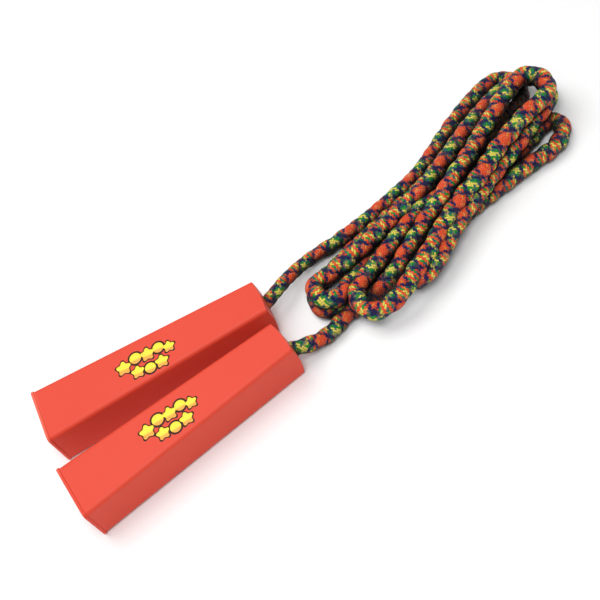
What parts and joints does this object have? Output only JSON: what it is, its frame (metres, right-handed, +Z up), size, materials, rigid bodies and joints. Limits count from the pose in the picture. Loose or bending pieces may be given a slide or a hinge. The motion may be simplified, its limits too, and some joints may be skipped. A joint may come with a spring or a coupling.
{
  "type": "jump rope",
  "caption": "Child's jump rope put away: four-sided tapered hollow handles on a braided multicolour rope that is folded into a hank.",
  "frame": {"origin": "on the floor under the middle of the two handles", "axes": "+X along the handles towards the rope, +Z up"},
  "size_m": [0.2945, 0.1326, 0.0246],
  "materials": {
    "handle_plastic": "semi-matt moulded plastic, coral red",
    "rope": "braided synthetic yarn in red-orange, yellow, green and navy flecks"
  },
  "bodies": {
    "rope": {"rope_hank": "rope", "back_rope_lead": "rope", "front_rope_lead": "rope", "back_knot": "rope", "front_knot": "rope"},
    "back_handle": {"back_handle": "handle_plastic"},
    "front_handle": {"front_handle": "handle_plastic"}
  },
  "joints": [
    {"name": "back_handle_spin", "type": "hinge", "parent": "rope", "child": "back_handle", "pos_m": [0.0586, 0.0256, 0.01179], "axis": [0.9995, 0.0314, -0.0043], "continuous": true},
    {"name": "front_handle_spin", "type": "hinge", "parent": "rope", "child": "front_handle", "pos_m": [0.0593, 0.0001, 0.01179], "axis": [0.9819, 0.1891, -0.0043], "continuous": true}
  ]
}
